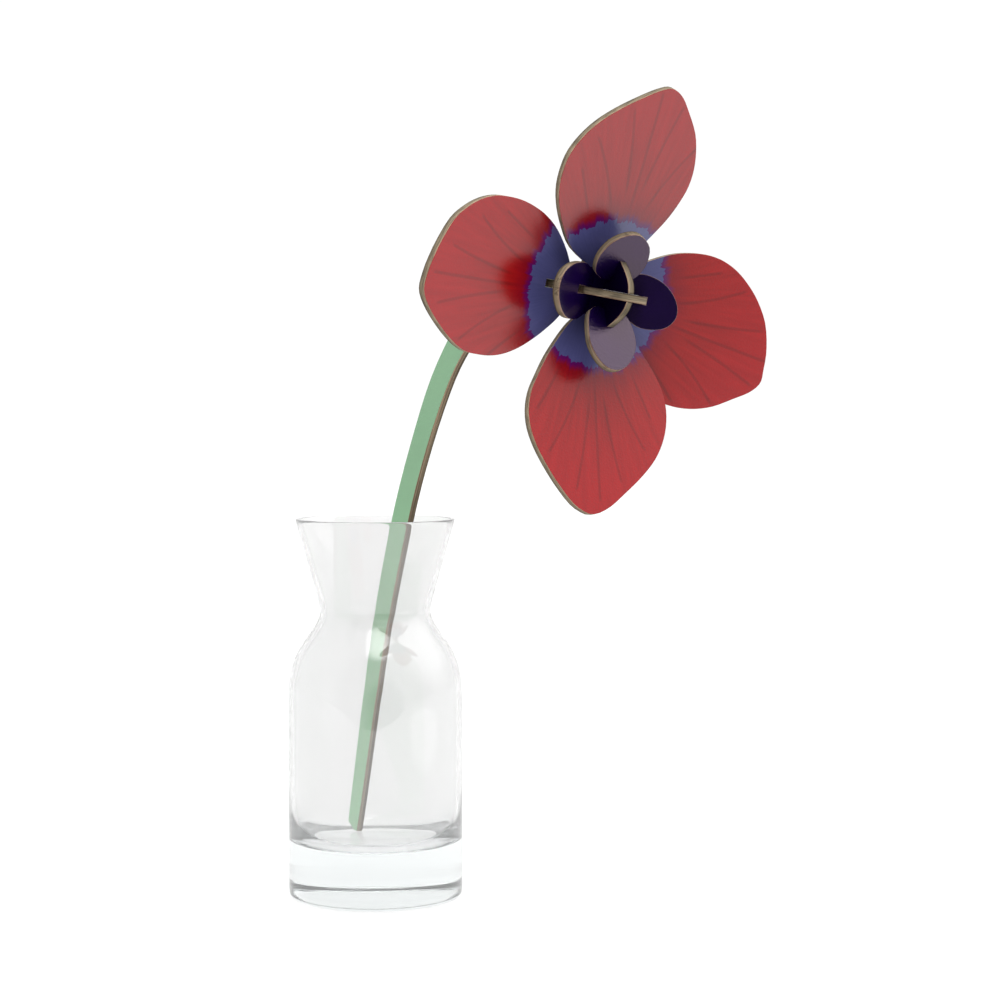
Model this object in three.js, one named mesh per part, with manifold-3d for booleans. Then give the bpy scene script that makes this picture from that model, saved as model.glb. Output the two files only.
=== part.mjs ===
// Slotted card anemone standing in a small clear carafe vase.
// Millimetres, +Z up. The origin is the centre of the vase's flat underside.
// Seen from the front, which is -Y, the stem rises out of the vase and bends over to the right.
// The flower faces the viewer's right and a little down.

import * as THREE from "three";
import { mergeVertices } from "three/addons/utils/BufferGeometryUtils.js";
import Module from "manifold-3d";

// Driving dimensions of the card flower
const CARD = 2.5; // thickness of the grey board
const FIT = 0.3; // clearance at every slot and seat
const SLOT_HALF = CARD / 2 + FIT; // half the width of every slot
const CURVE_STEPS = 3; // straight pieces to each pair of outline points

// Where the flower sits and how it faces
const FLOWER_AT = [78.95, -74.1, 214.94]; // where the two plates cross, on the flower's axis
const FLOWER_TURN = 33.35; // degrees, from straight ahead towards the viewer's right
const FLOWER_NOD = 8.36; // degrees below level
const FLOWER_LEAN = 7.06; // degrees, top of the flower leaning right

// Petal and lobe levels, each measured on the flower's axis, with the rise of each towards its tip
const SIDE_PETAL = { level: -9.5, rise: 13 };
const UPRIGHT_PETAL = { level: -6, rise: 16 };
const SIDE_LOBE = { level: -2.3, rise: 27 };
const UPRIGHT_LOBE = { level: 2.2, rise: 27 };

// Petal outline: half-widths at fixed distances from the flower's axis, on the two sides of the blade
const PETAL_STATIONS = [12, 18, 24, 30, 36, 42, 48, 54, 60, 66];
const PETAL_ROOT = 8; // distance of the cut root from the flower's axis
const PETAL_ROOT_HALF = 4.8;

// Lobes are cut off square at the root too
const LOBE_ROOT = 5;
const LOBE_ROOT_HALF = 5;

// Plates
const HALVING_LEVEL = -2; // floor of the stem plate's front slot, where the cross plate drops in
const DOME_TOP = 15.5;
const HEAD_BACK = -17; // back of the cross plate, and where the stem begins

// Vase
const VASE_HEIGHT = 137;
const FLOOR_LEVEL = 19;
const VASE_STEPS = 80; // flats round the vase

const COLOURS = {
  petal: 0xb0383c,
  lobe: 0x2a1668,
  stem: 0x7fb58c,
  plate: 0x261560,
  glass: 0xdfe6e4,
};

const deg = THREE.MathUtils.degToRad;
const wasm = await Module();
wasm.setup();

// A closed mesh as a solid, with its shared corners merged
function toSolid(geometry) {
  const bare = geometry.clone();
  bare.deleteAttribute("normal");
  bare.deleteAttribute("uv");
  const merged = mergeVertices(bare, 1e-4);
  const mesh = new wasm.Mesh({
    numProp: 3,
    vertProperties: new Float32Array(merged.attributes.position.array),
    triVerts: new Uint32Array(merged.index.array),
  });
  return new wasm.Manifold(mesh);
}

// A solid as a geometry again
function fromSolid(solid) {
  const mesh = solid.getMesh();
  const geometry = new THREE.BufferGeometry();
  geometry.setAttribute("position", new THREE.BufferAttribute(new Float32Array(mesh.vertProperties), 3));
  geometry.setIndex(new THREE.BufferAttribute(new Uint32Array(mesh.triVerts), 1));
  geometry.computeVertexNormals();
  return geometry;
}

function material(name, roughness = 0.5) {
  return new THREE.MeshStandardMaterial({ color: COLOURS[name], roughness, metalness: 0 });
}

// A flat card piece cut to an outline, its front face at z = front
function card(shape, front) {
  const geometry = new THREE.ExtrudeGeometry(shape, {
    depth: CARD,
    bevelEnabled: false,
    curveSegments: CURVE_STEPS,
  });
  geometry.translate(0, 0, front - CARD);
  return geometry;
}

const point = ([x, y]) => new THREE.Vector2(x, y);
const mirrored = ([x, y]) => [-x, y];

// The outline of a petal or lobe lies in its own plane: x runs outwards along the slot, y across it.
// The blade is turned by skew about the flower's axis, because the pieces hang a little in their slots.
function bladeShape({ root, rootHalf, plus, tip, minus, skew, slotEnd }) {
  const cos = Math.cos(deg(skew));
  const sin = Math.sin(deg(skew));
  const turned = ([x, y]) => [x * cos - y * sin, x * sin + y * cos];
  const rootShift = root * Math.tan(deg(skew));
  const round = [...plus, ...tip, ...minus.toReversed()].map(turned);
  const shape = new THREE.Shape();
  shape.moveTo(root, SLOT_HALF);
  shape.lineTo(root, rootHalf + rootShift);
  shape.splineThru([...round, [root, rootShift - rootHalf]].map(point));
  shape.lineTo(root, -SLOT_HALF);
  shape.lineTo(slotEnd, -SLOT_HALF);
  shape.lineTo(slotEnd, SLOT_HALF);
  shape.closePath();
  return shape;
}

function petalShape({ plus, minus, tip, skew, slotEnd }) {
  return bladeShape({
    root: PETAL_ROOT,
    rootHalf: PETAL_ROOT_HALF,
    plus: PETAL_STATIONS.map((x, i) => [x, plus[i]]),
    tip,
    minus: PETAL_STATIONS.map((x, i) => [x, -minus[i]]),
    skew,
    slotEnd,
  });
}

function lobeShape({ outline, slotEnd }) {
  return bladeShape({
    root: LOBE_ROOT,
    rootHalf: LOBE_ROOT_HALF,
    plus: outline,
    tip: [],
    minus: [],
    skew: 0,
    slotEnd,
  });
}

// The four petals. bearing is the way each points on the flower's face, 0 to the right, 90 up.
const PETALS = {
  left: {
    bearing: 180,
    seat: SIDE_PETAL,
    slotEnd: 20.2,
    skew: 4.6,
    plus: [9.5, 14, 17.6, 20.4, 22.2, 22.9, 22.6, 21.6, 18.6, 14.1],
    minus: [12.5, 19.3, 23.4, 25.9, 27.5, 28.2, 28.2, 26.9, 24.1, 19.3],
    tip: [[71.6, 8.8], [75.1, 3.6], [74.8, -1.5], [72, -9.3]],
  },
  top: {
    bearing: 90,
    seat: UPRIGHT_PETAL,
    slotEnd: 19.3,
    skew: -3,
    plus: [14.3, 20.6, 25.2, 28.2, 29.4, 29.3, 27.2, 23.5, 17.8, 10.5],
    minus: [7.5, 11.3, 14.6, 17.5, 19.4, 20.4, 19.8, 17.7, 14.2, 8.3],
    tip: [[69.7, 5.2], [71.4, 1], [69.8, -3.8]],
  },
  right: {
    bearing: 0,
    seat: SIDE_PETAL,
    slotEnd: 20.2,
    skew: -13.5,
    plus: [13, 18.7, 23.3, 26.3, 28.2, 28.7, 27.7, 25.2, 21.4, 15.5],
    minus: [10.5, 15.5, 19.5, 22.3, 23.7, 23.8, 23, 21, 17.6, 12.3],
    tip: [[70.3, 7.6], [72.2, 1], [73, -3.6], [70.6, -8]],
  },
  bottom: {
    bearing: 270,
    seat: UPRIGHT_PETAL,
    slotEnd: 19.3,
    skew: 1,
    plus: [14, 20.5, 25.7, 29.5, 31.4, 31.5, 30, 26.8, 21.5, 14.7],
    minus: [9.5, 14.3, 18.4, 21.6, 24.4, 25.4, 24.6, 21.9, 17.8, 12.8],
    tip: [[71.8, 7.4], [74.4, 0.4], [72, -6.3]],
  },
};

// The four lobes, each outline from its root round the tip and back: along the slot, across it
const LOBES = {
  left: {
    bearing: 180,
    seat: SIDE_LOBE,
    slotEnd: 14.6,
    outline: [
      [8, 8], [13.6, 10.1], [20.8, 9.2], [26.2, 4.8], [27.8, 0], [26.1, -4.5], [20.5, -7.7], [13, -8.8],
      [8, -7],
    ],
  },
  top: {
    bearing: 90,
    seat: UPRIGHT_LOBE,
    slotEnd: 15.3,
    outline: [
      [7.4, 8.6], [12.8, 9.8], [18.2, 7.9], [21.8, 3.6], [22.8, -1.6], [19.6, -7.1], [14.2, -9.3],
      [9.8, -8.9], [7, -7.2],
    ],
  },
  right: {
    bearing: 0,
    seat: SIDE_LOBE,
    slotEnd: 17.7,
    outline: [
      [8, 6.7], [12.5, 8.5], [17.4, 8.1], [22.3, 5.9], [26.2, 1.5], [27.2, -3.3], [24.9, -7.1],
      [20.8, -8.9], [15.6, -9.1], [11.5, -7.4], [8, -6],
    ],
  },
  bottom: {
    bearing: 270,
    seat: UPRIGHT_LOBE,
    slotEnd: 14.2,
    outline: [
      [7, 7.6], [10, 9.3], [14.8, 10.3], [19.6, 9.2], [25, 4.8], [26.6, -0.8], [24.2, -5.6], [18.6, -8.7],
      [12.3, -8.9], [7.2, -7.8],
    ],
  },
};

// A plate's rim on one side, from the dome's top to its back, as it passes through a lobe's slot and a
// petal's slot. Behind each of them it steps out into a ledge that the piece lies on.
function rim(lobe, lobeReach, petal, petalReach) {
  const front = (seat, x) => seat.level + x * Math.tan(deg(seat.rise));
  const back = (seat, x) => front(seat, x) - CARD / Math.cos(deg(seat.rise)) - FIT;
  const lobeLedge = lobeReach + 2;
  const petalLedge = petalReach + 5;
  return {
    dome: [
      [lobeReach * 0.42, DOME_TOP - 1.3],
      [lobeReach * 0.73, DOME_TOP - 4.2],
      [lobeReach, front(lobe, lobeReach)],
    ],
    seats: [
      [lobeReach, back(lobe, lobeReach)],
      [lobeLedge, back(lobe, lobeLedge)],
      [petalReach - 0.4, back(lobe, lobeLedge) - 3.4],
      [petalReach, back(petal, petalReach)],
      [petalLedge, back(petal, petalLedge)],
      [petalLedge - 1.2, back(petal, petalLedge) - 3.2],
    ],
  };
}

const LEFT_RIM = rim(SIDE_LOBE, 9.2, SIDE_PETAL, 16);
const RIGHT_RIM = rim(SIDE_LOBE, 13.4, SIDE_PETAL, 16);
const UPPER_RIM = rim(UPRIGHT_LOBE, 11.2, UPRIGHT_PETAL, 15.3);
const LOWER_RIM = rim(UPRIGHT_LOBE, 10.4, UPRIGHT_PETAL, 15.3);

// The cross plate: x to the right, y along the flower's axis. Its slot is open at the back.
function crossPlateShape() {
  const haunch = [11, HEAD_BACK + 2];
  const heel = [5.5, HEAD_BACK];
  const shape = new THREE.Shape();
  shape.moveTo(SLOT_HALF, HEAD_BACK);
  shape.lineTo(...heel);
  shape.lineTo(...haunch);
  RIGHT_RIM.seats.toReversed().forEach(([x, y]) => shape.lineTo(x, y));
  shape.lineTo(...RIGHT_RIM.dome.at(-1));
  const dome = [...RIGHT_RIM.dome.slice(0, -1).toReversed(), [0, DOME_TOP], ...LEFT_RIM.dome.map(mirrored)];
  shape.splineThru(dome.map(point));
  LEFT_RIM.seats.forEach(([x, y]) => shape.lineTo(-x, y));
  shape.lineTo(...mirrored(haunch));
  shape.lineTo(...mirrored(heel));
  shape.lineTo(-SLOT_HALF, HEAD_BACK);
  shape.lineTo(-SLOT_HALF, HALVING_LEVEL + FIT);
  shape.lineTo(SLOT_HALF, HALVING_LEVEL + FIT);
  shape.closePath();
  return shape;
}

// The two long edges of the stem, from the head down to the foot, in the stem plate's plane:
// x up the flower, y along its axis. The stem hangs back from the head, bends down and stands in the vase.
const STEM_HALF = 5.6;
const STEM_BACK_EDGE = [
  [STEM_HALF, -33], [4, -46], [-1, -59], [-9, -71], [-18.5, -80.2], [-27.5, -86.4], [-43.9, -93.3],
  [-66, -98], [-89.9, -101.2], [-118.6, -102], [-140.8, -100.9], [-161.5, -99.3], [-200.1, -95],
  [-208.9, -93.8],
];
const STEM_FRONT_EDGE = [
  [-198, -87.6], [-159.3, -90.5], [-138.6, -91.2], [-116.1, -91.2], [-88, -90], [-64.2, -86.5],
  [-42.2, -80.6], [-29.5, -74.3], [-19, -66], [-10.8, -54.5], [-6.6, -43], [-STEM_HALF, -31],
];
const STEM_TOE = [[-211.9, -88.8], [-211.9, -86.5]]; // the cut end that stands on the vase's floor

// The stem plate: head and stem in one piece. Its slot is open at the front.
function stemPlateShape() {
  const domeEdge = DOME_TOP - 0.15; // the dome beside the open slot
  const shoulder = [9.5, HEAD_BACK + 3.5];
  const shape = new THREE.Shape();
  shape.moveTo(SLOT_HALF, HALVING_LEVEL);
  shape.lineTo(-SLOT_HALF, HALVING_LEVEL);
  shape.lineTo(-SLOT_HALF, domeEdge);
  shape.splineThru(LOWER_RIM.dome.map(mirrored).map(point));
  LOWER_RIM.seats.forEach(([x, y]) => shape.lineTo(-x, y));
  shape.lineTo(...mirrored(shoulder));
  shape.lineTo(-STEM_HALF, HEAD_BACK);
  shape.splineThru(STEM_FRONT_EDGE.toReversed().map(point));
  STEM_TOE.toReversed().forEach(([x, y]) => shape.lineTo(x, y));
  shape.lineTo(...STEM_BACK_EDGE.at(-1));
  shape.splineThru([...STEM_BACK_EDGE.toReversed().slice(1), [STEM_HALF, HEAD_BACK]].map(point));
  shape.lineTo(...shoulder);
  UPPER_RIM.seats.toReversed().forEach(([x, y]) => shape.lineTo(x, y));
  shape.lineTo(...UPPER_RIM.dome.at(-1));
  shape.splineThru([...UPPER_RIM.dome.slice(0, -1).toReversed(), [SLOT_HALF, domeEdge]].map(point));
  shape.closePath();
  return shape;
}

// The vase's section, from the axis under the base, round the outside and over the rim, and down the
// inside to the axis on the thick floor: radius, height
const VASE_OUTSIDE = [
  [31.5, 74], [31.2, 79], [30.3, 83.5], [28.5, 88.3], [25.9, 92.6], [23, 96.4], [20.9, 99.6], [19.9, 102.6],
];
const VASE_NECK = [[19.95, 104.6], [20.5, 107.2]];
const VASE_RIM = [[28.3, 134.9], [28.75, VASE_HEIGHT - 1], [28.4, VASE_HEIGHT], [27.6, VASE_HEIGHT]];
const VASE_INSIDE = [
  [27, VASE_HEIGHT - 0.9], [26.3, 134.4], [18.5, 107.2], [17.95, 104.8], [17.9, 102.6], [18.8, 99.1],
  [20.9, 95.6], [23.8, 91.9], [26.4, 87.6], [28.2, 82.6], [29.2, 78], [29.5, 74],
];
const FLOOR_CORNER = 10; // radius of the inside corner between floor and wall
const FOOT_CORNER = 3.2; // radius of the outside corner under the base

function arc(centre, radius, from, to, steps) {
  return Array.from({ length: steps + 1 }, (_, i) => {
    const a = deg(from + ((to - from) * i) / steps);
    return [centre[0] + radius * Math.cos(a), centre[1] + radius * Math.sin(a)];
  });
}

function vaseGeometry() {
  const bodyRadius = VASE_OUTSIDE[0][0];
  const innerRadius = VASE_INSIDE.at(-1)[0];
  const section = [
    [0, 0],
    ...arc([bodyRadius - FOOT_CORNER, FOOT_CORNER], FOOT_CORNER, -90, 0, 5),
    ...VASE_OUTSIDE,
    ...VASE_NECK,
    ...VASE_RIM,
    ...VASE_INSIDE,
    ...arc([innerRadius - FLOOR_CORNER, FLOOR_LEVEL + FLOOR_CORNER], FLOOR_CORNER, 0, -90, 6),
    [0, FLOOR_LEVEL],
  ];
  const geometry = new THREE.LatheGeometry(section.map(point), VASE_STEPS);
  geometry.rotateX(Math.PI / 2);
  return geometry;
}

const part = new THREE.Group();

const vase = new THREE.Mesh(fromSolid(toSolid(vaseGeometry())), material("glass", 0.05));
vase.name = "vase";
part.add(vase);

// The flower's own frame: x to its right, y up, z out of its face
const turn = new THREE.Group();
turn.position.set(...FLOWER_AT);
turn.rotation.z = deg(FLOWER_TURN);
const nod = new THREE.Group();
nod.rotation.x = deg(90 + FLOWER_NOD);
const flower = new THREE.Group();
flower.rotation.z = deg(-FLOWER_LEAN);
part.add(turn);
turn.add(nod);
nod.add(flower);

// Petals and lobes: turned to their bearing, raised towards the tip and set at their level
function addBlade(name, shape, { bearing, seat }, look) {
  const spoke = new THREE.Group();
  spoke.rotation.z = deg(bearing);
  const blade = new THREE.Mesh(fromSolid(toSolid(card(shape, 0))), look);
  blade.name = name;
  blade.position.z = seat.level;
  blade.rotation.y = deg(-seat.rise);
  spoke.add(blade);
  flower.add(spoke);
}

for (const [side, petal] of Object.entries(PETALS)) {
  addBlade(`petal_${side}`, petalShape(petal), petal, material("petal"));
}
for (const [side, lobe] of Object.entries(LOBES)) {
  addBlade(`lobe_${side}`, lobeShape(lobe), lobe, material("lobe"));
}

// The plates cross on the flower's axis: the cross plate level with the side petals, the stem plate upright
const crossPlate = new THREE.Mesh(fromSolid(toSolid(card(crossPlateShape(), CARD / 2))), material("plate"));
crossPlate.name = "cross_plate";
crossPlate.rotation.x = Math.PI / 2;
flower.add(crossPlate);

const stemPlate = new THREE.Mesh(fromSolid(toSolid(card(stemPlateShape(), CARD / 2))), material("stem"));
stemPlate.name = "stem_plate";
stemPlate.rotation.set(Math.PI / 2, Math.PI / 2, 0);
flower.add(stemPlate);

export default part;
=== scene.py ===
# %% [markdown]
# # A card anemone in a glass vase
# The object is a flower cut from printed grey board. Its petals and lobes slide into slots of two crossed
# plates, and one plate runs on as the long bent stem. The stem stands in a small clear glass vase.
# The solid model holds all these pieces already. This lesson dresses them: it finishes and prints the card,
# turns a smooth vase and sets them in a plain studio. Every length is in metres, in the frame of the solid
# model, with +Z up and the viewer on the -Y side.

# %% Load the solid model
import math

import bmesh
import bpy
from mathutils import Matrix, Vector


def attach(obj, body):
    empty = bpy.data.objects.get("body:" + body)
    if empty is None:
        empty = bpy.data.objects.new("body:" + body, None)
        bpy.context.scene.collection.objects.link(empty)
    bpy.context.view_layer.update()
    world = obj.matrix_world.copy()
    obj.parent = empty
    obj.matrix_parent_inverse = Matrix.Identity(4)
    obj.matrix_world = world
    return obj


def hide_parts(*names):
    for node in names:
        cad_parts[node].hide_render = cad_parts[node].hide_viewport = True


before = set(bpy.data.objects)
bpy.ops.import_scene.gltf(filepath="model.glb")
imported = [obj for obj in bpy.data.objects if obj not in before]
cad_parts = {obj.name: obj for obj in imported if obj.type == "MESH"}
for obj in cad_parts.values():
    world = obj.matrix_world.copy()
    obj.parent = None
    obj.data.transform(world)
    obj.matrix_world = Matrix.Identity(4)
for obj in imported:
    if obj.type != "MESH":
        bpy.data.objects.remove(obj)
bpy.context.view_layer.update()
scene = bpy.context.scene
MM = 0.001
print("solid model:", sorted(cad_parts))

# %% [markdown]
# ## The camera
# The photograph was taken from close to table height with a long lens, so that the vase hardly tapers and
# its rim shows as a thin ellipse. The camera looks along +Y, tipped down by a couple of degrees. It is placed
# first, because every later choice is judged through it.

# %% Place the camera
CAMERA_AT = (0.0451, -0.866, 0.180)
CAMERA_DOWN = 2.4  # degrees
LENS, SENSOR_WIDTH = 86.4, 36  # millimetres
NEAREST = 0.01
bpy.ops.object.select_all(action="DESELECT")
bpy.ops.object.camera_add(location=CAMERA_AT, rotation=(math.radians(90 - CAMERA_DOWN), 0, 0))
camera = bpy.context.object
camera.name = "camera"
camera.data.lens = LENS
camera.data.sensor_width = SENSOR_WIDTH
camera.data.clip_start = NEAREST
scene.camera = camera
print("camera at", tuple(camera.location))

# %% [markdown]
# ## Tools for the materials
# A printer names a colour by its hex value, which is in sRGB. Shaders count in linear light, so one function
# turns the one into the other. A material is a tree of nodes, and clicking dozens of them together by hand
# is slow, so a second small function adds a node, sets it up and links its inputs.

# %% Colours and nodes
def linear(hex_colour):
    """A linear RGBA colour from an sRGB hex value such as "#aa3344", by the curve that defines sRGB."""
    channels = [int(hex_colour[i:i + 2], 16) / 255 for i in (1, 3, 5)]
    return (*[c / 12.92 if c <= 0.04045 else ((c + 0.055) / 1.055) ** 2.4 for c in channels], 1)


def add_node(tree, kind, inputs=None, **settings):
    """Adds a shader node. Each input takes a value, a socket, or a node whose first live output it links."""
    node = tree.nodes.new(kind)
    for name, value in settings.items():
        setattr(node, name, value)
    for key, value in (inputs or {}).items():
        if isinstance(value, bpy.types.Node):
            value = next(socket for socket in value.outputs if socket.enabled)
        if isinstance(value, bpy.types.NodeSocket):
            tree.links.new(value, node.inputs[key])
        else:
            node.inputs[key].default_value = value
    return node


def new_material(name):
    """A node material with an empty tree."""
    material = bpy.data.materials.new(name)
    material.use_nodes = True
    material.node_tree.nodes.clear()
    return material, material.node_tree


print("crimson ink in linear light:", linear("#a8262f"))

# %% [markdown]
# ## The flower's own frame
# The flower is turned to the viewer's right, nods a little and leans. The same few angles that place the
# card pieces in the solid model are written here, because the print is laid out on each piece and not in
# the room: on a petal or lobe, x runs from the flower's axis out to the tip, y across it and z out of its
# face. On the two plates, y runs along the flower's axis.

# %% Frames of the flower and of its pieces
FLOWER_AT = Vector((0.07895, -0.0741, 0.21494))
FLOWER_TURN, FLOWER_NOD, FLOWER_LEAN = 33.35, 8.36, 7.06  # degrees
CARD = 2.5 * MM


def turned(angle, axis):
    """A turn by so many degrees about an axis."""
    return Matrix.Rotation(math.radians(angle), 4, axis)


flower = Matrix.Translation(FLOWER_AT) @ turned(FLOWER_TURN, "Z") @ turned(90 + FLOWER_NOD, "X")
flower = flower @ turned(-FLOWER_LEAN, "Z")


def blade(bearing, forward, rise):
    """The frame of a petal or lobe, with its printed front at z = 0."""
    return flower @ turned(bearing, "Z") @ Matrix.Translation((0, 0, forward * MM)) @ turned(-rise, "Y")


# The way each blade points, in degrees round the flower's axis. Then, for the blades at the sides and for
# those above and below, how many millimetres forward on the axis they sit and by how many degrees they rise
BEARINGS = {"left": 180, "top": 90, "right": 0, "bottom": 270}
PETALS_BESIDE, PETALS_UPRIGHT = (-9.5, 13), (-6, 16)
LOBES_BESIDE, LOBES_UPRIGHT = (-2.3, 27), (2.2, 27)
blades = {}
for side, bearing in BEARINGS.items():
    beside = side in ("left", "right")
    blades["petal_" + side] = blade(bearing, *(PETALS_BESIDE if beside else PETALS_UPRIGHT))
    blades["lobe_" + side] = blade(bearing, *(LOBES_BESIDE if beside else LOBES_UPRIGHT))
half_card = Matrix.Translation((0, 0, CARD / 2))
blades["cross_plate"] = flower @ turned(90, "X") @ half_card
blades["stem_plate"] = flower @ turned(90, "X") @ turned(90, "Y") @ half_card
print("frames:", sorted(blades))

# %% [markdown]
# ## Cutting the card pieces
# On the real object each piece is stamped from a printed sheet. The stamp leaves a square edge of bare board
# and presses the printed film a little over it, so every outline has a tiny round. Drawing the outlines once
# more would risk a misfit, so they come from the solid model: its mesh is copied and its loose triangles are
# merged into whole faces. The slots are drawn in until they grip the card, and the outline is bevelled.

# %% Copy a node's solid
WELD = 0.002 * MM
FLAT_WITHIN = math.radians(0.4)  # triangles that turn by less are one flat face


def select_only(piece):
    """Selects a piece and nothing else, because operators act on all that is selected."""
    bpy.ops.object.select_all(action="DESELECT")
    piece.select_set(True)
    bpy.context.view_layer.objects.active = piece


def merged_copy(name):
    """Copies a node's solid with its triangles merged into whole faces, and leaves it in edit mode."""
    piece = bpy.data.objects.new("card_" + name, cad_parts[name].data.copy())
    scene.collection.objects.link(piece)
    select_only(piece)
    bpy.ops.object.mode_set(mode="EDIT")
    bpy.ops.mesh.select_all(action="SELECT")
    bpy.ops.mesh.remove_doubles(threshold=WELD)
    bpy.ops.mesh.dissolve_limited(angle_limit=FLAT_WITHIN)
    return piece


print("nodes are welded within", WELD, "m")

# %% Draw in the slots and press the outline
PRESSED_EDGE = 0.18 * MM
SLOT_HALF = 1.55  # mm, half the solid model's slots, which are wide enough to leave a clearance
GRIP_HALF = 1.28  # mm, half the real slots, which grip the card
NEAR = 0.02  # mm, how near a corner lies to the line it is looked for on
BROAD = 0.9  # how squarely a face looks along the piece's z if it is one of the two broad ones
# Slots that end at a plate's edge: the end in the solid model, and the end that shows, in mm from the axis
SLOT_ENDS = {"petal_top": (19.3, 18.3), "lobe_top": (15.3, 12.4),
             "lobe_bottom": (14.2, 11.6), "lobe_right": (17.7, 16.3)}


def press_outline(piece, name, to_world):
    """Moves the slots' corners and rounds the outline of both faces. It works in edit mode."""
    to_blade = to_world.inverted()
    across = 0 if "plate" in name else 1
    slot_end, grip_end = SLOT_ENDS.get(name, (0, 0))
    bpy.ops.mesh.select_all(action="DESELECT")
    mesh = bmesh.from_edit_mesh(piece.data)
    for corner in mesh.verts:
        place = to_blade @ corner.co
        if abs(abs(place[across] / MM) - SLOT_HALF) < NEAR:
            place[across] *= GRIP_HALF / SLOT_HALF
            if slot_end and abs(place.x / MM - slot_end) < NEAR:
                place.x = grip_end * MM
            corner.co = to_world @ place
    for line in mesh.edges:
        flats = [abs((to_blade.to_3x3() @ face.normal).z) > BROAD for face in line.link_faces]
        line.select_set(len(flats) == 2 and flats[0] != flats[1])
    bmesh.update_edit_mesh(piece.data)
    bpy.ops.mesh.bevel(offset=PRESSED_EDGE, segments=2, profile=0.5)


print("pressed edge:", PRESSED_EDGE, "m")

# %% [markdown]
# ## Laying the print
# The print could be an image, but an image turns coarse when the viewer comes close. Here the material works
# it out, and the mesh only tells it where it is, through a UV map in units of 100 mm: on a broad face that
# is the place on the blade, and on an edge the way round the outline and the depth into the board. The stem
# plate is green, but its head is dark like the lobes, so its mesh is cut across where the head begins.

# %% The UV map and the materials' faces
UV_UNIT = 0.1
PRINTED = 0.5  # how squarely a printed face looks along z: the broad faces and the upper half of the round
EDGE_CENTRE = 0.03  # the way round is the heading seen from this far out on the blade, on a circle as wide
STEM_BEGINS = -16.5  # mm along the flower's axis, behind the petals


def lay_print(piece, to_blade, skew, shift, mirror):
    """Lays the UV map, and tells which faces are bare edge, print and head print."""
    upright = turned(-skew, "Z").to_3x3()
    mesh = bmesh.new()
    mesh.from_mesh(piece.data)
    for layer in list(mesh.loops.layers.uv.values()):
        mesh.loops.layers.uv.remove(layer)
    uv = mesh.loops.layers.uv.new("card")
    for face in mesh.faces:
        printed = abs((to_blade.to_3x3() @ face.normal).z) > PRINTED
        in_head = (to_blade @ face.calc_center_median()).y > STEM_BEGINS * MM
        face.material_index = min(1 + in_head, len(piece.data.materials) - 1) if printed else 0
        for corner in face.loops:
            x, y, z = to_blade @ corner.vert.co
            if printed:
                along, aside, _ = upright @ (Vector((x, y, z)) - Vector((*shift, 0)) * MM)
                corner[uv].uv = (along / UV_UNIT, mirror * aside / UV_UNIT)
            else:
                depth = 1 + z / CARD if "stem" in piece.name else -z / CARD
                corner[uv].uv = (math.atan2(y, x - EDGE_CENTRE) * EDGE_CENTRE / UV_UNIT, depth)
    mesh.to_mesh(piece.data)
    mesh.free()


print("a print unit is", UV_UNIT, "m")

# %% [markdown]
# ## One function for a finished card piece
# Smooth shading bends the normals of a flat face towards the little rounds beside it, and a glossy flat face
# then mirrors the room like a cushion. A Weighted Normal modifier gives the large faces back their one true
# normal, so each petal mirrors one part of the room, as flat card does.

# %% Finish a card piece
SMOOTH_BELOW = math.radians(40)


def card_piece(name, to_world, inks, skew=0.0, shift=(0, 0), mirror=1):
    """Finishes a node's card. inks holds its print and, on the stem plate, the print of its head too.

    skew turns the print by degrees, shift moves it by millimetres, and mirror flips it where it is -1.
    """
    piece = merged_copy(name)
    if len(inks) > 1:
        bpy.ops.mesh.select_all(action="SELECT")
        bpy.ops.mesh.bisect(plane_co=to_world @ Vector((0, STEM_BEGINS * MM, 0)),
                            plane_no=to_world.to_3x3() @ Vector((0, 1, 0)))
    press_outline(piece, name, to_world)
    bpy.ops.object.mode_set(mode="OBJECT")
    bpy.ops.object.shade_smooth_by_angle(angle=SMOOTH_BELOW)
    piece.data.materials.clear()
    for material in (board_edge, *inks):
        piece.data.materials.append(material)
    lay_print(piece, to_world.inverted(), skew, shift, mirror)
    flatten = piece.modifiers.new("flat faces", "WEIGHTED_NORMAL")
    flatten.keep_sharp = True
    bpy.ops.object.modifier_apply(modifier=flatten.name)
    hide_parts(name)
    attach(piece, "root")
    print(piece.name, len(piece.data.polygons), "faces")
    return piece


print("edges are shaded smooth below", round(math.degrees(SMOOTH_BELOW)), "degrees")

# %% [markdown]
# ## Bare board edge
# Grey board is pressed from waste paper in layers. Its cut edge is a warm beige grey, a little reddish where
# the printed film is pressed over it and dark towards the back, with streaks that run along it. A noise
# stretched along the edge draws the streaks, and a colour ramp over the depth draws the layers.

# %% Grey board
# Depth into the board, from the printed face at 0 to the back at 1, and the colour of the layer there
BOARD_LAYERS = [(0.0, "#b38b70"), (0.12, "#9c886f"), (0.45, "#857862"), (0.8, "#756851"), (0.93, "#4c4032")]
# Streaks to a UV unit: along the edge one in about 4 mm, across it one in about 0.6 mm of the 2.5 mm board
STREAKS = (26, 4.5, 1)
STRAY = 0.3  # how far the streaks shift the layers, in board thicknesses
FIBRE_LOW, FIBRE_HIGH = 0.36, 0.6  # the part of the noise that shows as streaks
FIBRE_HEIGHT = 0.2 * MM
STREAK_DARK, STREAK_PALE = 0.45, 1.25  # the streaks' brightness, as shares of the layer's


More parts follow.
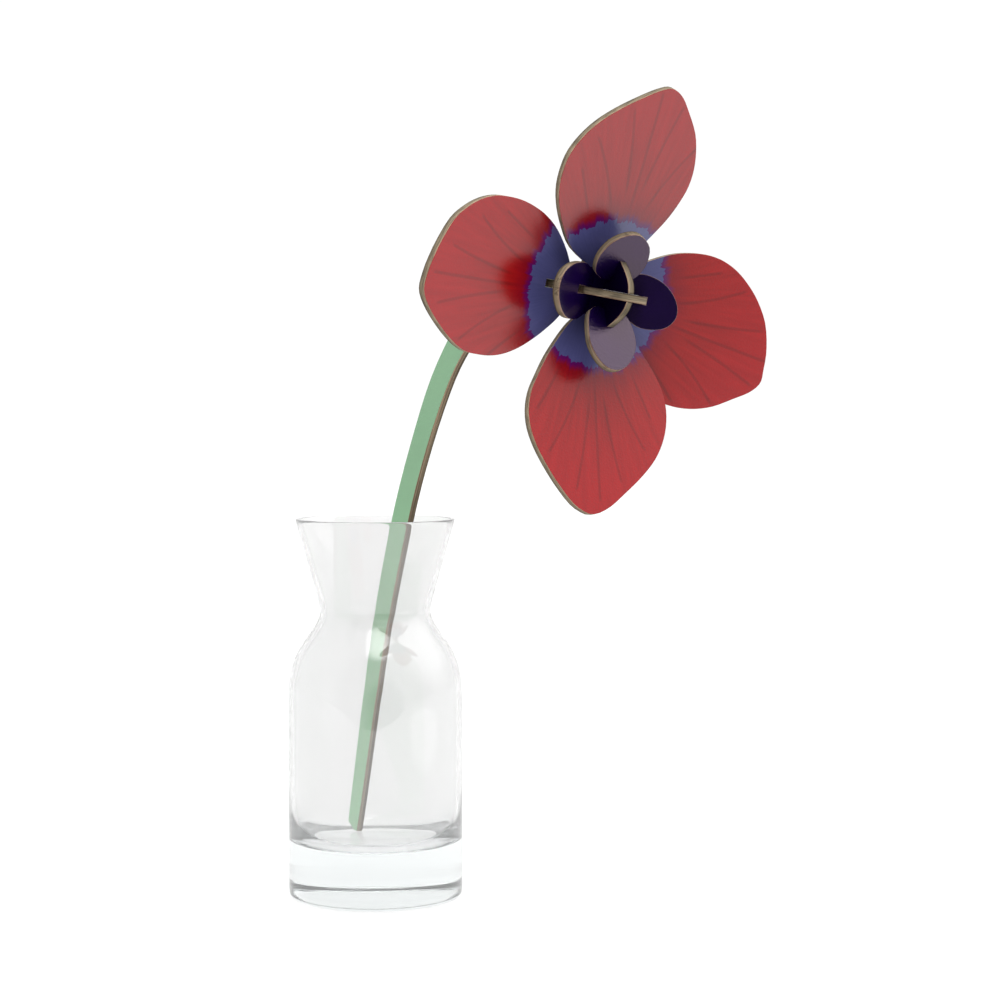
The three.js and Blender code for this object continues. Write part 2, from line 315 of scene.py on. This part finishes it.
def grey_board():
    """Pressed waste paper, cut: fully rough, so that it scatters light evenly and never shines."""
    material, tree = new_material("grey_board_cut_edge")
    place = add_node(tree, "ShaderNodeUVMap", uv_map="card")
    streaks = add_node(tree, "ShaderNodeMapping", {"Vector": place, "Scale": STREAKS})
    fibre = add_node(tree, "ShaderNodeTexNoise", {"Vector": streaks, "Scale": 1.0, "Detail": 6.0})
    depth = add_node(tree, "ShaderNodeSeparateXYZ", {0: place}).outputs["Y"]
    stray = add_node(tree, "ShaderNodeMath", {0: fibre, 1: STRAY, 2: -STRAY / 2}, operation="MULTIPLY_ADD")
    layer = add_node(tree, "ShaderNodeMath", {0: depth, 1: stray}, operation="ADD")
    ramp = add_node(tree, "ShaderNodeValToRGB", {"Fac": layer})
    for at, tone in BOARD_LAYERS[1:-1]:
        ramp.color_ramp.elements.new(at)
    for element, (at, tone) in zip(ramp.color_ramp.elements, BOARD_LAYERS):
        element.position, element.color = at, linear(tone)
    streak = add_node(tree, "ShaderNodeMapRange",
                      {0: fibre, 1: FIBRE_LOW, 2: FIBRE_HIGH, 3: STREAK_DARK, 4: STREAK_PALE})
    colour = add_node(tree, "ShaderNodeVectorMath", {0: ramp, 3: streak}, operation="SCALE")
    bump = add_node(tree, "ShaderNodeBump", {"Height": fibre, "Strength": 0.35, "Distance": FIBRE_HEIGHT})
    board = add_node(tree, "ShaderNodeBsdfPrincipled",
                     {"Base Color": colour, "Roughness": 0.9, "Normal": bump})
    add_node(tree, "ShaderNodeOutputMaterial", {"Surface": board})
    return material


board_edge = grey_board()
print("made", board_edge.name)

# %% [markdown]
# ## The petal print
# A painted anemone petal: crimson, with faint darker veins that fan out towards the tip, and a lavender heart
# whose edge is jagged like a row of teeth, bleeds magenta into the red and has a deeper crimson round it,
# which is partly print and partly painted shade where the lobes shade the petal close to the heart.
# The pattern is worked out from the place on the petal in polar form, as the reach from the flower's axis and
# the heading, because veins, teeth and brush streaks all follow the one or the other. Its sizes are in
# millimetres on the petal and in radians round the axis.
#
# ### The heart's edge
# A row of teeth could be drawn by hand, but a wave does it with a few nodes: a Ping-Pong node turns a heading
# that only grows into a zigzag. A broad zigzag gives the scallops and a fine one the teeth. A slow noise
# spaces them unevenly and a random number gives each tooth its own length, as a painter's brush would.

# %% Beyond the heart's edge
HEART_RADIUS = 26.6
SCALLOPS_PER_RADIAN, SCALLOP_DEPTH = 5.6, 3.0
TEETH_PER_RADIAN, TOOTH_DEPTH, TOOTH_LEAST = 16, 2.2, 0.9
WANDER_PER_RADIAN, WANDER = 4.0, 0.4  # the slow noise, and how far in radians it moves scallops and teeth


def beyond_heart(tree, heading, reach):
    """How far a point lies beyond the heart's edge, which has broad scallops with small teeth on them."""
    slow = add_node(tree, "ShaderNodeMath", {0: heading, 1: WANDER_PER_RADIAN}, operation="MULTIPLY")
    wander = add_node(tree, "ShaderNodeTexNoise", {"W": slow, "Scale": 1.0, "Detail": 2.0},
                      noise_dimensions="1D")
    uneven = add_node(tree, "ShaderNodeMath", {0: wander, 1: WANDER, 2: heading}, operation="MULTIPLY_ADD")
    scallops = add_node(tree, "ShaderNodeMath", {0: uneven, 1: SCALLOPS_PER_RADIAN}, operation="MULTIPLY")
    scallop = add_node(tree, "ShaderNodeMath", {0: scallops, 1: 0.5}, operation="PINGPONG")
    scalloped = add_node(tree, "ShaderNodeMath", {0: scallop, 1: SCALLOP_DEPTH, 2: HEART_RADIUS},
                         operation="MULTIPLY_ADD")
    teeth = add_node(tree, "ShaderNodeMath", {0: uneven, 1: TEETH_PER_RADIAN}, operation="MULTIPLY")
    number = add_node(tree, "ShaderNodeMath", {0: teeth}, operation="FLOOR")
    chance = add_node(tree, "ShaderNodeTexWhiteNoise", {"W": number}, noise_dimensions="1D")
    size = add_node(tree, "ShaderNodeMath", {0: chance, 1: TOOTH_DEPTH, 2: TOOTH_LEAST},
                    operation="MULTIPLY_ADD")
    point = add_node(tree, "ShaderNodeMath", {0: teeth, 1: 0.5}, operation="PINGPONG")
    tooth = add_node(tree, "ShaderNodeMath", {0: point, 1: size}, operation="MULTIPLY")
    edge = add_node(tree, "ShaderNodeMath", {0: scalloped, 1: tooth}, operation="ADD")
    return add_node(tree, "ShaderNodeMath", {0: reach, 1: edge}, operation="SUBTRACT")


print("the heart reaches at least", HEART_RADIUS, "mm from the axis")

# %% [markdown]
# ### The veins
# A vein starts near the heart and runs out towards the tip, and the veins fan out a little. In polar form
# such a line is a heading that changes with the reach, so one Map Range node draws it. How far a point lies
# off the line is the difference of the headings times the reach, and that is a true width in millimetres.

# %% Drawn veins
# Each vein: where it starts and where it ends, as millimetres from the flower's axis and degrees
VEINS = [(32, 30, 50, 30), (32, 15, 59, 23), (36, 7, 67, 11), (33, 2, 73, 3), (38, -1.5, 70, -5),
         (32, -8, 61, -17), (31, -24, 50, -27)]
VEIN_WIDTH = 0.8
VEIN_LEAD, VEIN_FULL = 2, 6  # a vein appears so far before its start and is full so far after it
VEIN_TAPER = 2  # and it fades out over so much before its end


def drawn_veins(tree, heading, reach):
    """1 on the veins and 0 off them."""
    veins = 0.0
    for start, start_angle, end, end_angle in VEINS:
        first, last = math.radians(start_angle), math.radians(end_angle)
        line = add_node(tree, "ShaderNodeMapRange", {0: reach, 1: start, 2: end, 3: first, 4: last})
        turn = add_node(tree, "ShaderNodeMath", {0: heading, 1: line}, operation="SUBTRACT")
        aside = add_node(tree, "ShaderNodeMath", {0: turn}, operation="ABSOLUTE")
        off_line = add_node(tree, "ShaderNodeMath", {0: aside, 1: reach}, operation="MULTIPLY")
        stroke = add_node(tree, "ShaderNodeMapRange",
                          {0: off_line, 1: VEIN_WIDTH / 4, 2: VEIN_WIDTH, 3: 1.0, 4: 0.0},
                          interpolation_type="SMOOTHSTEP")
        begun = add_node(tree, "ShaderNodeMapRange",
                         {0: reach, 1: start - VEIN_LEAD, 2: start + VEIN_FULL, 3: 0.0, 4: 1.0},
                         interpolation_type="SMOOTHSTEP")
        opened = add_node(tree, "ShaderNodeMath", {0: stroke, 1: begun}, operation="MULTIPLY")
        unended = add_node(tree, "ShaderNodeMapRange",
                           {0: reach, 1: end - VEIN_TAPER, 2: end, 3: 1.0, 4: 0.0},
                           interpolation_type="SMOOTHSTEP")
        vein = add_node(tree, "ShaderNodeMath", {0: opened, 1: unended}, operation="MULTIPLY")
        veins = add_node(tree, "ShaderNodeMath", {0: veins, 1: vein}, operation="MAXIMUM")
    return veins


print("veins on a petal:", len(VEINS))

# %% [markdown]
# ### The inks
# The red is laid on in long brush streaks, which a noise gives that is stretched along the petal. The other
# inks go over it one after another, as in a screen print: the brighter red of the tip, the veins, the deep
# crimson round the heart, which is partly painted shade, the magenta bleed and last the lavender heart.
# Each is a Mix node with its share.

# %% Brushed red with its veins
HEART_REDS, TIP_REDS = ("#860d0f", "#ae1513"), ("#950e14", "#b61519")
TIP_FROM, TIP_TO, TIP_STRAY = 38.0, 74.0, 12.0  # where the red turns brighter, and how ragged that is
VEIN_RED, VEIN_SHARE = "#540c0e", 0.36


def brushed_red(tree, wash, reach, veins):
    """Streaks of crimson that turn brighter towards the tip, with the veins on them."""
    inner = add_node(tree, "ShaderNodeMix", {0: wash, 6: linear(HEART_REDS[0]), 7: linear(HEART_REDS[1])},
                     data_type="RGBA")
    outer = add_node(tree, "ShaderNodeMix", {0: wash, 6: linear(TIP_REDS[0]), 7: linear(TIP_REDS[1])},
                     data_type="RGBA")
    ragged = add_node(tree, "ShaderNodeMath", {0: wash, 1: TIP_STRAY, 2: reach}, operation="MULTIPLY_ADD")
    to_tip = add_node(tree, "ShaderNodeMapRange", {0: ragged, 1: TIP_FROM, 2: TIP_TO, 3: 0.0, 4: 1.0},
                      interpolation_type="SMOOTHSTEP")
    red = add_node(tree, "ShaderNodeMix", {0: to_tip, 6: inner, 7: outer}, data_type="RGBA")
    share = add_node(tree, "ShaderNodeMath", {0: veins, 1: VEIN_SHARE}, operation="MULTIPLY")
    return add_node(tree, "ShaderNodeMix", {0: share, 6: red, 7: linear(VEIN_RED)}, data_type="RGBA")


print("the red turns brighter from", TIP_FROM, "to", TIP_TO, "mm")

# %% All inks of the petal
BRUSH_PER_MM, BRUSH_PER_RADIAN = 0.05, 26.0  # streaks 20 mm long, and 2 mm apart halfway out
# How far each ink reaches beyond the heart's edge, and its share of the colour there
# The deep crimson round the heart is partly print and partly painted shade, darker where the lobes shade the
# petal
CRIMSON_AND_SHADE, CRIMSON_SHADE_FROM, CRIMSON_SHADE_TO, CRIMSON_SHADE_SHARE = "#740322", 1.0, 11.0, 0.5
MAGENTA, BLEED_TO, BLEED_SHARE = "#560a66", 3.4, 0.9
LAVENDERS = ("#4e4f82", "#5b5c92")


def petal_inks(tree, point):
    """The colour of the print at a point, which is given in millimetres on the petal."""
    axes = add_node(tree, "ShaderNodeSeparateXYZ", {0: point})
    reach = add_node(tree, "ShaderNodeVectorMath", {0: point}, operation="LENGTH")
    heading = add_node(tree, "ShaderNodeMath", {0: axes.outputs["Y"], 1: axes.outputs["X"]},
                       operation="ARCTAN2")
    past_edge = beyond_heart(tree, heading, reach)
    in_heart = add_node(tree, "ShaderNodeMath", {0: past_edge, 1: 0.0}, operation="LESS_THAN")
    along = add_node(tree, "ShaderNodeMath", {0: reach, 1: BRUSH_PER_MM}, operation="MULTIPLY")
    across = add_node(tree, "ShaderNodeMath", {0: heading, 1: BRUSH_PER_RADIAN}, operation="MULTIPLY")
    brushed = add_node(tree, "ShaderNodeCombineXYZ", {0: along, 1: across})
    wash = add_node(tree, "ShaderNodeTexNoise", {"Vector": brushed, "Scale": 1.0, "Detail": 4.0})
    veined = brushed_red(tree, wash, reach, drawn_veins(tree, heading, reach))
    # Deep crimson near the heart: partly print, partly painted shade from the lobes
    crimson_and_shade = add_node(tree, "ShaderNodeMapRange", {0: past_edge, 1: CRIMSON_SHADE_FROM, 2: CRIMSON_SHADE_TO, 3: 1.0, 4: 0.0},
                    interpolation_type="SMOOTHSTEP")
    crimson_shade_share = add_node(tree, "ShaderNodeMath", {0: crimson_and_shade, 1: CRIMSON_SHADE_SHARE}, operation="MULTIPLY")
    crimson_shaded = add_node(tree, "ShaderNodeMix", {0: crimson_shade_share, 6: veined, 7: linear(CRIMSON_AND_SHADE)},
                        data_type="RGBA")
    bleed = add_node(tree, "ShaderNodeMapRange", {0: past_edge, 1: 0.0, 2: BLEED_TO, 3: 1.0, 4: 0.0},
                     interpolation_type="SMOOTHSTEP")
    bleed_share = add_node(tree, "ShaderNodeMath", {0: bleed, 1: BLEED_SHARE}, operation="MULTIPLY")
    bled = add_node(tree, "ShaderNodeMix", {0: bleed_share, 6: crimson_shaded, 7: linear(MAGENTA)},
                    data_type="RGBA")
    heart_wash = add_node(tree, "ShaderNodeTexNoise", {"Vector": brushed, "Scale": 2.0, "Detail": 3.0})
    heart = add_node(tree, "ShaderNodeMix",
                     {0: heart_wash, 6: linear(LAVENDERS[0]), 7: linear(LAVENDERS[1])}, data_type="RGBA")
    return add_node(tree, "ShaderNodeMix", {0: in_heart, 6: bled, 7: heart}, data_type="RGBA")


print("brush streaks are", 1 / BRUSH_PER_MM, "mm long")

# %% Petal ink under its film
UV_IN_MM = 100
FILM_ROUGHNESS, FILM_IOR, FILM_HEIGHT = 0.2, 1.6, 0.4 * MM
GRAIN_PER_MM, FILM_UNEVEN = 1.4, 0.12  # the board's fibres, felt through the film, about 0.7 mm apart


def petal_print():
    """Printed card under a satin film: a soft, slightly blurred sheen that washes the red out where it
    faces a light, with the board's faint unevenness showing through it."""
    material, tree = new_material("petal_ink_satin_film")
    place = add_node(tree, "ShaderNodeUVMap", uv_map="card")
    point = add_node(tree, "ShaderNodeVectorMath", {0: place, 1: (UV_IN_MM, UV_IN_MM, 0)},
                     operation="MULTIPLY")
    ink = petal_inks(tree, point)
    grain = add_node(tree, "ShaderNodeTexNoise", {"Vector": point, "Scale": GRAIN_PER_MM, "Detail": 3.0})
    bump = add_node(tree, "ShaderNodeBump",
                    {"Height": grain, "Strength": FILM_UNEVEN, "Distance": FILM_HEIGHT})
    film = add_node(tree, "ShaderNodeBsdfPrincipled",
                    {"Base Color": ink, "Roughness": FILM_ROUGHNESS, "IOR": FILM_IOR, "Normal": bump})
    add_node(tree, "ShaderNodeOutputMaterial", {"Surface": film})
    return material


petal_ink = petal_print()
print("made", petal_ink.name, "with", len(petal_ink.node_tree.nodes), "nodes")

# %% [markdown]
# ## The petals
# The four petals share one print. On the real flower no two prints lie quite the same on their petals, so
# each is turned and shifted a little, and the left one is mirrored.

# %% Dress the petals
# For each petal: the turn of its print in degrees, its shift in mm, and 1 or -1 where it is mirrored
PETAL_PRINT = {"left": (4.6, (0, 0.8), -1), "top": (1, (-2.5, -4.5), 1),
               "right": (-13.5, (0.8, 0), 1), "bottom": (1, (-2.2, 0), 1)}
for side, (skew, shift, mirror) in PETAL_PRINT.items():
    petal = card_piece("petal_" + side, blades["petal_" + side], [petal_ink], skew, shift, mirror)

# %% [markdown]
# ## The dark centre and the stem
# The lobes and the crossed plates are printed in one deep blue violet and the stem in a soft green. Even ink
# needs no drawing: a slow noise takes it from one tone to another very near it. The lobes' film is the most
# uneven, and its sheen is faintly rosy. The plates show almost only their edges, and the little that shows
# of their faces is matt and a deeper violet, as painted shade in the gaps between the lobes. The stem's green
# is painted paler towards its foot, as painted light for the brightness round it inside the glass.

# %% Plain inks
# The stem's green is painted paler low in the vase, as painted light for the brightness round it in the glass
PAINTED_LIGHT_FROM, PAINTED_LIGHT_TO = 0.16, 0.03  # heights above the table, from the full ink to the palest


def plain_print(name, dark, light, patch_mm, roughness, sheen,
                sheen_tint="#ffffff", unevenness=0.05, painted_light_paler=1.0):
    """Even ink: two tones in slow patches, made so many times paler low in the vase as painted light."""
    material, tree = new_material(name)
    place = add_node(tree, "ShaderNodeUVMap", uv_map="card")
    patches = add_node(tree, "ShaderNodeTexNoise",
                       {"Vector": place, "Scale": UV_IN_MM / patch_mm, "Detail": 3.0})
    tone = add_node(tree, "ShaderNodeMix", {0: patches, 6: linear(dark), 7: linear(light)}, data_type="RGBA")
    spot = add_node(tree, "ShaderNodeTexCoord").outputs["Object"]
    height = add_node(tree, "ShaderNodeSeparateXYZ", {0: spot}).outputs["Z"]
    # Painted light: the ink turns paler towards the foot of the stem
    painted_light_pale = add_node(tree, "ShaderNodeMapRange", {0: height, 1: PAINTED_LIGHT_FROM, 2: PAINTED_LIGHT_TO, 3: 1.0, 4: painted_light_paler})
    ink = add_node(tree, "ShaderNodeVectorMath", {0: tone, 3: painted_light_pale}, operation="SCALE")
    film_grain = GRAIN_PER_MM * UV_IN_MM
    grain = add_node(tree, "ShaderNodeTexNoise", {"Vector": place, "Scale": film_grain, "Detail": 3.0})
    bump = add_node(tree, "ShaderNodeBump",
                    {"Height": grain, "Strength": unevenness, "Distance": FILM_HEIGHT})
    film = add_node(tree, "ShaderNodeBsdfPrincipled",
                    {"Base Color": ink, "Roughness": roughness, "IOR": FILM_IOR, "Specular IOR Level": sheen,
                     "Specular Tint": linear(sheen_tint), "Normal": bump})
    add_node(tree, "ShaderNodeOutputMaterial", {"Surface": film})
    return material


# Satin film over dark ink: deep colour, and a clear sheen where it faces something bright
lobe_ink = plain_print("violet_ink_satin_film", "#0e022a", "#17033c", 12, FILM_ROUGHNESS, 0.7,
                       sheen_tint="#ffdfec", unevenness=0.25)
# Bare ink without film, no sheen at all, and a deeper violet than the lobes' as painted shade, so the gaps
# between the lobes stay dark
shaded_plate_ink = plain_print("violet_ink_matt_painted_shade", "#08021a", "#0d0326", 12, 0.6, 0.0)
# The same film over pale ink: a smooth soft green, painted paler low in the vase as painted light
green_ink = plain_print("stem_green_ink_satin_film", "#72a479", "#7ba980", 20, FILM_ROUGHNESS, 0.5,
                        painted_light_paler=1.9)
print("made", lobe_ink.name, shaded_plate_ink.name, green_ink.name)

# %% Dress the lobes, the level plate and the stem plate
for side in BEARINGS:
    lobe = card_piece("lobe_" + side, blades["lobe_" + side], [lobe_ink])
cross = card_piece("cross_plate", blades["cross_plate"], [shaded_plate_ink])
stem = card_piece("stem_plate", blades["stem_plate"], [green_ink, shaded_plate_ink])

# %% [markdown]
# ## The vase
# A small carafe of pressed clear glass: a thick flat base, a straight body, a waist and a flared neck with a
# rounded rim. It could be shaped from a cylinder ring by ring, but a body of revolution is truer when it is
# spun: one corner point is extruded from place to place along the section, and the line is spun round the
# vase's axis. Subdivision then takes the facets out of the glass.

# %% The vase's section, radius and height in millimetres
FOOT = [(0, 0), (14, 0), (28.5, 0), (30.3, 0.15), (31.2, 0.8), (31.5, 2.2)]
BODY = [(31.5, 12), (31.5, 30), (31.5, 50), (31.5, 68), (31.5, 74), (31.2, 79), (30.3, 83.5), (28.5, 88.3)]
NECK = [(25.9, 92.6), (23, 96.4), (20.9, 99.6), (19.9, 102.6), (19.95, 104.6), (20.5, 107.2), (23.1, 116.4),
        (25.7, 125.6), (28.3, 134.7)]
RIM = [(28.75, 136.5), (28.7, 136.9), (28.4, 137), (27.5, 137), (27.2, 136.85), (27.05, 136.4)]
NECK_INSIDE = [(26.3, 134), (23.7, 125), (21.1, 116), (18.5, 107.2), (17.95, 104.8), (17.9, 102.6),
               (18.8, 99.1), (20.9, 95.6), (23.8, 91.9)]
BODY_INSIDE = [(26.4, 87.6), (28.2, 82.6), (29.2, 78), (29.5, 74), (29.5, 66), (29.5, 48), (29.5, 31)]
FLOOR = [(28.9, 25.7), (27, 22.2), (23.9, 19.9), (19.5, 19), (10, 19), (0, 19)]
SECTION = FOOT + BODY + NECK + RIM + NECK_INSIDE + BODY_INSIDE + FLOOR
print("points of the section:", len(SECTION))

# %% Turn the vase
SPIN_STEPS = 96
SEAM = 0.01 * MM  # the spin's first and last line are merged within this


def turned_piece(name, section):
    """Spins a section about the vertical axis, into a closed body of revolution."""
    bpy.ops.object.select_all(action="DESELECT")
    bpy.ops.mesh.primitive_plane_add(size=2 * MM, location=(0, 0, 0))
    piece = bpy.context.object
    piece.name = name
    bpy.ops.object.mode_set(mode="EDIT")
    bpy.ops.mesh.select_all(action="SELECT")
    bpy.ops.mesh.merge(type="CENTER")
    for (r0, z0), (r1, z1) in zip(section, section[1:]):
        step = ((r1 - r0) * MM, 0, (z1 - z0) * MM)
        bpy.ops.mesh.extrude_vertices_move(TRANSFORM_OT_translate={"value": step})
    bpy.ops.mesh.select_all(action="SELECT")
    bpy.ops.mesh.spin(steps=SPIN_STEPS, angle=math.tau, center=(0, 0, 0), axis=(0, 0, 1))
    bpy.ops.mesh.select_all(action="SELECT")
    bpy.ops.mesh.remove_doubles(threshold=SEAM)
    bpy.ops.mesh.normals_make_consistent(inside=False)
    bpy.ops.object.mode_set(mode="OBJECT")
    return piece


vase = turned_piece("glass_vase", SECTION)
smooth = vase.modifiers.new("smooth glass", "SUBSURF")
smooth.levels = smooth.render_levels = 1
bpy.ops.object.modifier_apply(modifier=smooth.name)
bpy.ops.object.shade_smooth()
print("vase:", len(vase.data.polygons), "faces")

# %% [markdown]
# ## Clear glass
# Soda glass bends light with an index of about 1.5 and is quite smooth, so nearly all of its look comes from
# what shines through it and from its shape. A faint blue-green tint in the thick of it colours only the base.
# A slight haze, as washed glass has, scatters a part of the light and softens the dark bands that a perfect
# glass would show in its base.

# %% Soda glass
WAVES_PER_METRE = 14.0  # so a wave is about 70 mm long
WAVE_STRENGTH, WAVE_HEIGHT = 0.004, 0.8 * MM
CLEARNESS = 0.87  # the share of light that goes through unscattered


def clear_glass():
    """Pressed soda glass: polished, with the faintest of waves from the mould."""
    material, tree = new_material("soda_glass_clear")
    place = add_node(tree, "ShaderNodeTexCoord").outputs["Object"]
    waves = add_node(tree, "ShaderNodeTexNoise", {"Vector": place, "Scale": WAVES_PER_METRE, "Detail": 0.0})
    bump = add_node(tree, "ShaderNodeBump",
                    {"Height": waves, "Strength": WAVE_STRENGTH, "Distance": WAVE_HEIGHT})
    glass = add_node(tree, "ShaderNodeBsdfPrincipled",
                     {"Base Color": linear("#fbfbfb"), "Roughness": 0.0, "IOR": 1.5,
                      "Transmission Weight": CLEARNESS, "Normal": bump})
    tint = add_node(tree, "ShaderNodeVolumeAbsorption", {"Color": linear("#8be2e3"), "Density": 1.2})
    add_node(tree, "ShaderNodeOutputMaterial", {"Surface": glass, "Volume": tint})
    return material


vase.data.materials.clear()
vase.data.materials.append(clear_glass())
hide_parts("vase")
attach(vase, "root")
print("glazed", vase.name)

# %% [markdown]
# ## The studio
# A sheet of white paper in an even pale surround. The paper glows though it is no lamp, as painted light, so
# that the thick foot of the glass stays bright, and it glows more in one painted pool of light, which the
# petal and the lobe at the top mirror. It could be lit by lamps alone, but then the foot of the vase would
# turn dark.

# %% Floor
TABLE_FRONT, TABLE_SIZE, TABLE_AT = -0.5, 6, -0.3 * MM
# The painted pool of light on the paper: its centre, and the distances where it is full and where it ends
BRIGHT_PATCH, PATCH_INNER, PATCH_OUTER = (0.49, -0.19, 0), 0.15, 0.22
# The paper's painted glow, in the pool and elsewhere
PATCH_GLOW, TABLE_GLOW = 1.5, 0.9
bpy.ops.object.select_all(action="DESELECT")
bpy.ops.mesh.primitive_plane_add(size=TABLE_SIZE, location=(0, TABLE_FRONT + TABLE_SIZE / 2, TABLE_AT))
floor = bpy.context.object
floor.name = "floor"
# Uncoated paper, rough and even with no sheen worth seeing, that glows as painted light, most in one pool
paper, tree = new_material("white_paper_floor_painted_glow")
spot = add_node(tree, "ShaderNodeNewGeometry").outputs["Position"]
from_patch = add_node(tree, "ShaderNodeVectorMath", {0: spot, 1: BRIGHT_PATCH}, operation="DISTANCE")
shine = add_node(tree, "ShaderNodeMapRange",
                 {0: from_patch, 1: PATCH_INNER, 2: PATCH_OUTER, 3: PATCH_GLOW, 4: TABLE_GLOW},
                 interpolation_type="SMOOTHSTEP")
sheet = add_node(tree, "ShaderNodeBsdfPrincipled",
                 {"Base Color": linear("#606060"), "Roughness": 0.9, "Specular IOR Level": 0.2,
                  "Emission Color": linear("#ffffff"), "Emission Strength": shine})
add_node(tree, "ShaderNodeOutputMaterial", {"Surface": sheet})
floor.data.materials.append(paper)
print("floor:", tuple(floor.dimensions))

# %% [markdown]
# ## The surround
# The glass and the satin film mirror all that stands round them, so the surround is painted for them: white
# behind the flower, greyer to the sides and dark only in the room behind the camera, which keeps the lobes
# that face the camera deep in colour. A softbox hangs above the front and a weaker panel on the right. All
# this could be built from planes and lamps. As one world shader it stays out of the way of every view.

# %% Surround
# How bright the surround is, by the cosine of the angle to the dark room
ROOM = [(0.22, 1.03), (0.48, 0.56), (0.87, 0.74), (0.95, 0.04)]
DARK_ROOM = (0.266, -0.958, -0.102)  # the way from the flower to the room behind the camera
# Each soft light: its strength, the way to it, and the degrees off that way where it ends and is full
SOFTBOX = (5.5, (0.08, -0.476, 0.871), 19, 3)
SIDE_PANEL = (1.25, (0.65, 0.05, 0.758), 50, 5)
scene.view_settings.view_transform = "Standard"
world = bpy.data.worlds.new("white_surround")
scene.world = world
world.use_nodes = True
tree = world.node_tree
way = add_node(tree, "ShaderNodeTexCoord").outputs["Generated"]
to_room = add_node(tree, "ShaderNodeVectorMath", {0: way, 1: DARK_ROOM}, operation="DOT_PRODUCT")
ramp = add_node(tree, "ShaderNodeValToRGB",
                {"Fac": add_node(tree, "ShaderNodeMapRange", {0: to_room, 1: -1.0, 2: 1.0})})
for at, tone in ROOM[1:-1]:
    ramp.color_ramp.elements.new((at + 1) / 2)
for element, (at, tone) in zip(ramp.color_ramp.elements, ROOM):
    element.position, element.color = (at + 1) / 2, (tone, tone, tone, 1)
glow = ramp
for strength, toward, wide, narrow in (SOFTBOX, SIDE_PANEL):
    facing = add_node(tree, "ShaderNodeVectorMath", {0: way, 1: toward}, operation="DOT_PRODUCT")
    ends, full = math.cos(math.radians(wide)), math.cos(math.radians(narrow))
    lit = add_node(tree, "ShaderNodeMapRange", {0: facing, 1: ends, 2: full, 3: 0.0, 4: strength},
                   interpolation_type="SMOOTHSTEP")
    glow = add_node(tree, "ShaderNodeVectorMath", {0: glow, 1: lit}, operation="ADD")
tree.links.new(glow.outputs[0], tree.nodes["Background"].inputs["Color"])
print("surround:", world.name)

# %% [markdown]
# ## A lamp
# One large soft panel overhead, a little to the left, lifts the upper sides of the card and its edges. It is
# a real lamp and not part of the surround, so that its light falls off towards the foot of the vase.

# %% Top panel
PANEL_AT, PANEL_AIM = Vector((-0.3, 0.1, 1.3)), Vector((0, 0, 0.15))
PANEL_SIZE, PANEL_WATTS = 0.9, 3.6
bpy.ops.object.select_all(action="DESELECT")
bpy.ops.object.light_add(type="AREA", location=PANEL_AT)
panel = bpy.context.object
panel.name = "top_panel"
panel.data.size = PANEL_SIZE
panel.data.energy = PANEL_WATTS
panel.rotation_euler = (PANEL_AIM - PANEL_AT).to_track_quat("-Z", "Y").to_euler()
